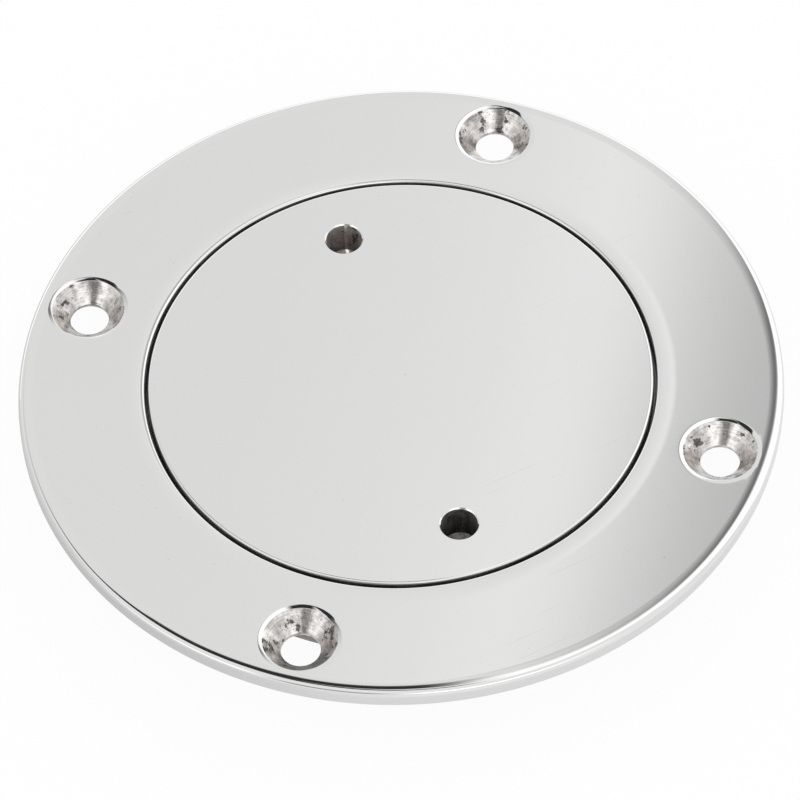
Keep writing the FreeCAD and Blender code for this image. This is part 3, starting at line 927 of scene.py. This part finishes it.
VECTOR, VALUE = "NodeSocketVector", "NodeSocketFloat"
MARKS = {
    "polish_marks": ({"Place": VECTOR}, ("Haze", "Hairline", "Speck"), fill_polish_marks),
    "bore_marks": ({"Place": VECTOR, "About": VECTOR}, ("Mottle", "Rings", "Pits", "Stain"), fill_bore_marks),
    "turning_marks": ({"Place": VECTOR}, ("Rings", "Stain"), fill_turning_marks),
    # the key sockets' group gives painted light: painted shade and a painted highlight
    "key_socket_painted_light": ({"Out": VALUE, "Across": VALUE, "Key Radius": VALUE}, ("Painted Shade", "Line"), fill_key_painted_light),
}


def marks(name, inputs):
    """Place a group of marks in a material, with the material's own values, and give its outputs."""
    return add_node("ShaderNodeGroup", inputs, node_tree=mark_group(name, *MARKS[name])).outputs


def polished_steel(name, finish):
    """Mirror polish, with a slightly duller rim wall whose darker, tinted colour on upright faces is painted
    shade.
    """
    material, shader, place = start_material(name, metallic=1.0)
    group_outputs = marks("polish_marks", {"Place": place})
    normal = source_node(material.node_tree, "ShaderNodeNewGeometry")["Normal"]
    # upright faces get painted shade in their colour, and a little more roughness
    wall = fade(math_node("ABSOLUTE", dot(normal, UP)), 0.35, 0.12)
    haze, hairline, speck = (shaded(finish.steel, factor) for factor in (0.985, 0.975, 0.8))
    layers = (group_outputs["Haze"], haze), (wall, finish.wall), (group_outputs["Hairline"], hairline), (group_outputs["Speck"], speck)
    rough = span(group_outputs["Haze"], finish.polish * 0.7, finish.polish * 1.3)
    rough = add(rough, multiply(group_outputs["Hairline"], 0.05))
    rough = add(rough, multiply(wall, 0.08))
    feed(shader, {"Base Color": lay_colours(finish.steel, *layers), "Roughness": rough})
    return material


def bored_steel(name, pale, dark, roughness, about, sizes):
    """Drilled or countersunk steel, marked about its own axis; in the key sockets, painted shade and a
    painted highlight are laid over it.
    """
    material, shader, place = start_material(name, metallic=1.0)
    centred, socket_painted_light = about(place, sizes)
    group_outputs = marks("bore_marks", {"Place": place, "About": centred})
    rings = fade(group_outputs["Rings"], 0.3, 0.62)
    shade = add(multiply(group_outputs["Mottle"], 0.64), multiply(rings, 0.36))
    stained = multiply(group_outputs["Stain"], span(rings, 1.0, 0.75))
    # for the key sockets, the last layers are painted shade and a painted highlight
    layers = (shade, pale), (stained, shaded(dark, 0.22)), (group_outputs["Pits"], shaded(dark, 0.25)), *socket_painted_light
    rough = multiply(span(group_outputs["Mottle"], 1.5, 0.75), roughness)
    rough = add(rough, multiply(group_outputs["Stain"], 0.15))
    relief = add(group_outputs["Rings"], multiply(group_outputs["Mottle"], 0.8))
    normal = bump(relief, strength=0.35, distance=0.04 * MM)
    surface = {"Base Color": lay_colours(dark, *layers), "Roughness": rough, "Normal": normal}
    feed(shader, surface)
    return material


def about_screw_holes(place, holes):
    """Place about the axis of the nearest of the four screw holes, in millimetres, and no further layers."""
    turn, centre = round_places(holes.circle / 2 / MM, holes.start, holes.number)[0]
    return vector_node("SUBTRACT", vector_node("ABSOLUTE", place), centre), ()


def about_key_sockets(place, cover):
    """Place about the axis of the nearer key socket, in millimetres, and painted layers that tell the two
    apart: painted shade in the near socket, a painted highlight streak in the far one.
    """
    turn, radius = cover.turn + math.pi / 2, cover.key_radius / MM
    out = dot(place, Vector((math.cos(turn), math.sin(turn), 0)))
    across = dot(place, Vector((-math.sin(turn), math.cos(turn), 0)))
    from_axis = subtract(math_node("ABSOLUTE", out), radius)
    group_outputs = marks("key_socket_painted_light", {"Out": out, "Across": across, "Key Radius": radius})
    layers = (group_outputs["Painted Shade"], PAINTED_SOCKET_SHADE), (group_outputs["Line"], PAINTED_SOCKET_HIGHLIGHT)
    return join_xyz(from_axis, across, dot(place, UP)), layers


def turned_steel(name, colour, roughness):
    """Steel with the rings of a lathe tool."""
    material, shader, place = start_material(name, metallic=1.0)
    group_outputs = marks("turning_marks", {"Place": place})
    stain = fade(group_outputs["Stain"], 0.4, 0.62)
    shade = multiply(group_outputs["Rings"], span(stain, 1.0, 0.55))
    rough = multiply(span(stain, 0.85, 1.3), span(group_outputs["Rings"], 1.2, 0.8))
    surface = {
        "Base Color": mix_colours(shade, shaded(colour, 0.66), colour),
        "Roughness": multiply(rough, roughness),
        "Normal": bump(group_outputs["Rings"], strength=0.6, distance=0.05 * MM),
    }
    feed(shader, surface)
    return material


def seal_rubber(name, rubber):
    """Matt black rubber with a soft sheen and fine grain."""
    material, shader, place = start_material(name)
    grain = noise(place, scale=3.0, detail=4.0)
    surface = {
        "Base Color": mix_colours(grain, rubber, shaded(rubber, 1.6)),
        "Roughness": span(grain, 0.42, 0.6),
        "Normal": bump(grain, strength=0.3, distance=0.03 * MM),
    }
    feed(shader, surface)
    return material


def finish_materials(scene, names):
    """Give finishes by name, each made the first time that it is asked for."""
    look, holes, cover = scene.deckplate_finish, scene.deckplate_holes, scene.deckplate_cover
    cone = (look.cone_pale, look.cone_dark, look.bored_rough)
    socket = (look.socket_pale, look.socket_dark, look.socket_rough)
    # the drill points get a near-black colour: painted shade at the bottom of the key sockets
    point = (shaded(look.socket_dark, 0.7), shaded(look.gap, 0.135), look.point_rough)
    makers = {
        "polished_steel": (polished_steel, look),
        "countersunk_steel": (bored_steel, *cone, about_screw_holes, holes),
        "drilled_steel": (bored_steel, *socket, about_key_sockets, cover),
        "drill_point_steel": (bored_steel, *point, about_key_sockets, cover),
        # the turned underside's dark colour is partly its finish and partly painted shade under the flange
        "turned_steel": (turned_steel, look.machined_and_shade, look.machined_rough),
        # the gap's walls are dull steel, with painted shade darkening them between cover and ring
        "dull_steel": (turned_steel, look.gap, look.gap_rough),
        "seal_rubber": (seal_rubber, look.rubber),
    }
    for name in names:
        if name not in MADE:
            maker, *values = makers[name]
            MADE[name] = maker(name, *values)
    return {name: MADE[name] for name in names}


# Stage


def studio_axes(studio):
    """Directions to the right, away and along the camera's view."""
    turn = studio.azimuth
    right = Vector((math.cos(turn), -math.sin(turn), 0))
    away = Vector((math.sin(turn), math.cos(turn), 0))
    view = away * math.cos(studio.elevation) - UP * math.sin(studio.elevation)
    return right, away, view


# The light tent as a mirror on the plate shows it. A mirror's slope is its angle from the level, and its
# side is the direction towards which it leans: 0 to the right, 90 away, -90 towards the camera. All are in
# degrees, and a pair of limits says where a tone starts to show and where it shows fully.

# tones over the flat top: palest right of the middle, greyer towards the right, then a dark band
FLAT_TONES = (
    (-2, 0.866), (-1, 0.876), (-0.3, 0.894), (0.5, 0.932), (0.95, 0.983), (1.15, 0.974), (1.35, 0.922),
    (1.7, 0.782), (2.1, 0.639), (2.4, 0.598), (4, 0.41), (5.4, 0.265), (6.2, 0.203), (7, 0.19), (8, 0.42),
    (9, 1),
)
FLAT_LIMITS = (-2, 10)
LEAN_ACROSS, LEAN_BACK = 53.1, -21.5
LEVEL_SLOPES = (3.6, 2.4)
RIGHT_SIDES = ((-80, -38), (52, 2))
SLOPED_TONE = 0.885
# beside this side, mirrors of these slopes show the tones of less steep ones
ASIDE_FROM, ASIDE_WIDTH, ASIDE_MOST, ASIDE_SHARE, ASIDE_SLOPES = -10, 30, 1.5, 0.17, (2.8, 4)
# the front of the tent, and its walls, from the slope at which an upright face shows them
FRONT_TONE, FRONT_SIDES, FRONT_SLOPES = 0.95, ((-168, -150), (-45, -62)), (9.5, 12.5)
WALL_TONES = (
    (-180, 1), (-172, 0.85), (-164, 0.74), (-150, 0.76), (-135, 0.85), (-120, 0.89), (-105, 0.93),
    (-88, 0.955), (-60, 0.985), (-40, 0.93), (-18, 0.93), (-4, 1),
)
WALL_SLOPES = (27, 42)
# streaks that the countersinks show
STREAK_TONES = (
    (-180, 0.5), (-150, 0.5), (-130, 0.8), (-117, 0.92), (-108, 0.2), (-97, 0.24), (-88, 0.94), (-72, 0.9),
    (-56, 0.6), (-20, 0.56), (180, 0.5),
)
STREAK_STRENGTH, STREAK_SLOPES = 1.6, ((38.5, 42), (51, 47.5))
# dark gap on the near side, the same for the lips of the screw holes, and the white panels: slopes at which
# each starts and ends, and how strongly it shows, by side
PANELS = (
    {
        "tone": 0.03,
        "soft": 0.5,
        "start": (
            (-180, 10), (-163, 10.5), (-148, 11.6), (-135, 7.5), (-120, 6.6), (-105, 6), (-88, 5.3),
            (-70, 5.3), (150, 10),
        ),
        "end": (
            (-180, 14.5), (-160, 17), (-148, 21), (-135, 14.6), (-118, 12), (-108, 9.4), (-88, 8.4),
            (-70, 8.4), (150, 14.5),
        ),
        "strength": (
            (-180, 0.12), (-165, 0.3), (-150, 0.8), (-140, 1), (-88, 1), (-76, 0), (165, 0), (180, 0.12),
        ),
    },
    {
        "tone": 0.03,
        "soft": 0.5,
        "start": ((-180, 9.6), (-100, 9.6), (-90, 10.4), (180, 10.4)),
        "end": ((-180, 14.5), (180, 14.5)),
        "strength": ((-118, 0), (-110, 1), (-82, 1), (-70, 0)),
    },
    {
        "tone": 1.28,
        "soft": 0.8,
        "start": (
            (-80, 6.8), (-57, 7.7), (-27, 8.1), (0, 9.5), (20, 10.2), (35, 10.6), (58, 12.5), (85, 12.8),
            (118, 12.8), (148, 15), (180, 36),
        ),
        "end": ((-80, 20), (-60, 17), (-42, 26), (-27, 46), (-14, 90), (180, 90)),
        "strength": ((-180, 0), (-84, 0), (-74, 1), (170, 1), (180, 0.7)),
    },
)
STEEPEST = 90
TENT_TINT = (1.0, 0.998, 0.995)
# how much darker the left of the floor is where it is mirrored, and over which millimetres it fades
FLOOR_LEFT_TONE, FLOOR_LEFT = 0.62, (-75, 0)
WHITE = (1.0, 1.0, 1.0)


def by_side(side, stops, most=1.0):
    """Give a value by the side towards which a mirror leans, from stops of no more than a largest value."""
    ramp = tone_ramp(side, -180, 180, [(place, value / most) for place, value in stops])
    return multiply(ramp, most)


def between(value, rise, fall):
    """Rise from 0 to 1 over one pair of limits, and fall again over another."""
    return multiply(fade(value, *rise), fade(value, *fall))


def make_world(studio):
    """Paint the light tent as tones by the slope and side of the mirror that would show them."""
    right, away, view = studio_axes(studio)
    world = bpy.data.worlds.new("light_tent")
    world.use_nodes = True
    tree = world.node_tree
    tree.nodes.clear()
    ray = source_node(tree, "ShaderNodeTexCoord")["Generated"]
    half = vector_node("NORMALIZE", vector_node("SUBTRACT", ray, view))
    across, back = dot(half, right), dot(half, away)
    slope = multiply(math_node("ARCCOSINE", dot(half, UP)), math.degrees(1))
    side = multiply(math_node("ARCTAN2", back, across), math.degrees(1))
    aside = multiply(subtract(side, ASIDE_FROM), 1 / ASIDE_WIDTH)
    aside = math_node("MINIMUM", multiply(aside, aside), ASIDE_MOST)
    aside = multiply(multiply(aside, ASIDE_SHARE), fade(slope, *ASIDE_SLOPES))
    lean = add(multiply(across, LEAN_ACROSS), multiply(back, LEAN_BACK))
    lean = multiply(lean, subtract(1.0, aside))
    flat = tone_ramp(lean, *FLAT_LIMITS, FLAT_TONES)
    level = fade(slope, *LEVEL_SLOPES)
    flat_share = math_node("MAXIMUM", level, between(side, *RIGHT_SIDES))
    tone = mix_values(flat_share, SLOPED_TONE, flat)
    front = multiply(fade(slope, *FRONT_SLOPES), between(side, *FRONT_SIDES))
    tone = mix_values(front, tone, FRONT_TONE)
    tone = mix_values(fade(slope, *WALL_SLOPES), tone, by_side(side, WALL_TONES))
    streak = multiply(by_side(side, STREAK_TONES), STREAK_STRENGTH)
    tone = mix_values(between(slope, *STREAK_SLOPES), tone, streak)
    for panel in PANELS:
        soft = panel["soft"]
        past_start = subtract(slope, by_side(side, panel["start"], STEEPEST))
        past_end = subtract(slope, by_side(side, panel["end"], STEEPEST))
        shows = multiply(fade(past_start, -soft, soft), fade(past_end, soft, -soft))
        shows = multiply(shows, by_side(side, panel["strength"]))
        tone = mix_values(shows, tone, panel["tone"])
    channels = enumerate(multiply(tone, factor) for factor in TENT_TINT)
    colour = add_node("ShaderNodeCombineColor", channels).outputs["Color"]
    background = add_node("ShaderNodeBackground", {"Color": colour}).outputs["Background"]
    add_node("ShaderNodeOutputWorld", {"Surface": background})
    bpy.context.scene.world = world


def make_camera(studio):
    """Stand the camera where the photograph was taken from."""
    right, away, view = studio_axes(studio)
    aim = right * studio.aim_right + away * studio.aim_away + UP * RING_HIGH.z
    bpy.ops.object.camera_add(location=aim - view * studio.distance)
    camera = bpy.context.active_object
    camera.name = "photo_camera"
    upward = right.cross(view)
    lean_right = right * math.cos(studio.roll) + upward * math.sin(studio.roll)
    lean_up = upward * math.cos(studio.roll) - right * math.sin(studio.roll)
    camera.rotation_euler = Matrix((lean_right, lean_up, -view)).transposed().to_euler()
    camera.data.lens = studio.focal_share * camera.data.sensor_width
    camera.data.clip_end = 10.0
    bpy.context.scene.camera = camera


def make_floor(studio):
    """Lay the white floor under the collar; seen from below, it lets the view through."""
    bpy.ops.mesh.primitive_plane_add(size=studio.floor_size, location=(0, 0, RING_LOW.z - 2 * HAIR))
    floor = bpy.context.active_object
    floor.name = "floor"
    material, shader, place = start_material("floor_white")
    tree = material.node_tree
    grain = noise(place, scale=0.04, detail=2.0, roughness=0.5)
    surface = {
        "Base Color": mix_colours(grain, shaded(WHITE, 0.93), shaded(WHITE, 0.96)),
        "Roughness": 0.9,
        "Specular IOR Level": 0.0,
    }
    feed(shader, surface)
    right, away, view = studio_axes(studio)
    path = source_node(tree, "ShaderNodeLightPath")
    from_left = fade(dot(place, right), *FLOOR_LEFT)
    tone = mix_values(from_left, FLOOR_LEFT_TONE, 1.0)
    strength = math_node("MAXIMUM", path["Is Camera Ray"], tone)
    plain = add_node("ShaderNodeEmission", {"Color": (*WHITE, 1.0), "Strength": strength})
    mirrored = add(path["Is Glossy Ray"], path["Is Transmission Ray"])
    seen = multiply(path["Is Camera Ray"], studio.floor_white)
    amount = math_node("ADD", seen, multiply(mirrored, studio.floor_mirrored), clamp=True)
    lit = mix_shaders(amount, shader.outputs["BSDF"], plain.outputs["Emission"])
    clear = source_node(tree, "ShaderNodeBsdfTransparent")["BSDF"]
    behind = source_node(tree, "ShaderNodeNewGeometry")["Backfacing"]
    feed(tree.nodes["Material Output"], {"Surface": mix_shaders(behind, lit, clear)})
    floor.data.materials.append(material)


class DECKPLATE_OT_stage(bpy.types.Operator):
    """Set up the camera, the floor and the light"""

    bl_idname = "deckplate.stage"
    bl_label = "Stage"

    def execute(self, context):
        studio = context.scene.deckplate_studio
        bpy.ops.object.select_all(action="DESELECT")
        make_camera(studio)
        make_floor(studio)
        make_world(studio)
        context.scene.view_settings.view_transform = "Standard"
        return {"FINISHED"}


# Registration and the run

SETTINGS = {
    "deckplate_ring": RingSizes,
    "deckplate_thread": ThreadSizes,
    "deckplate_holes": ScrewHoleSizes,
    "deckplate_cover": CoverSizes,
    "deckplate_seal": SealSizes,
    "deckplate_finish": FinishSettings,
    "deckplate_studio": StudioSettings,
}
OPERATORS = (DECKPLATE_OT_ring, DECKPLATE_OT_cover, DECKPLATE_OT_seal, DECKPLATE_OT_stage)


class DECKPLATE_PT_panel(bpy.types.Panel):
    """The buttons and the sizes in the sidebar"""

    bl_idname = "DECKPLATE_PT_panel"
    bl_label = "Deck inspection plate"
    bl_space_type = "VIEW_3D"
    bl_region_type = "UI"
    bl_category = "Deck plate"

    def draw(self, context):
        for item in OPERATORS:
            self.layout.operator(item.bl_idname)
        for name, group in SETTINGS.items():
            box = self.layout.box()
            box.label(text=group.__doc__)
            for setting in group.__annotations__:
                box.prop(getattr(context.scene, name), setting)


def register():
    """Register the classes and hang the settings on the scene."""
    for item in (*SETTINGS.values(), *OPERATORS, DECKPLATE_PT_panel):
        bpy.utils.register_class(item)
    for name, group in SETTINGS.items():
        setattr(bpy.types.Scene, name, bpy.props.PointerProperty(type=group))


def unregister():
    """Take the settings and the classes away again."""
    for name in SETTINGS:
        delattr(bpy.types.Scene, name)
    for item in reversed((*SETTINGS.values(), *OPERATORS, DECKPLATE_PT_panel)):
        bpy.utils.unregister_class(item)


def main():
    """Make all the pieces and the stage in order."""
    register()
    bpy.ops.deckplate.ring()
    bpy.ops.deckplate.cover()
    bpy.ops.deckplate.seal()
    bpy.ops.deckplate.stage()


if __name__ == "__main__":
    main()
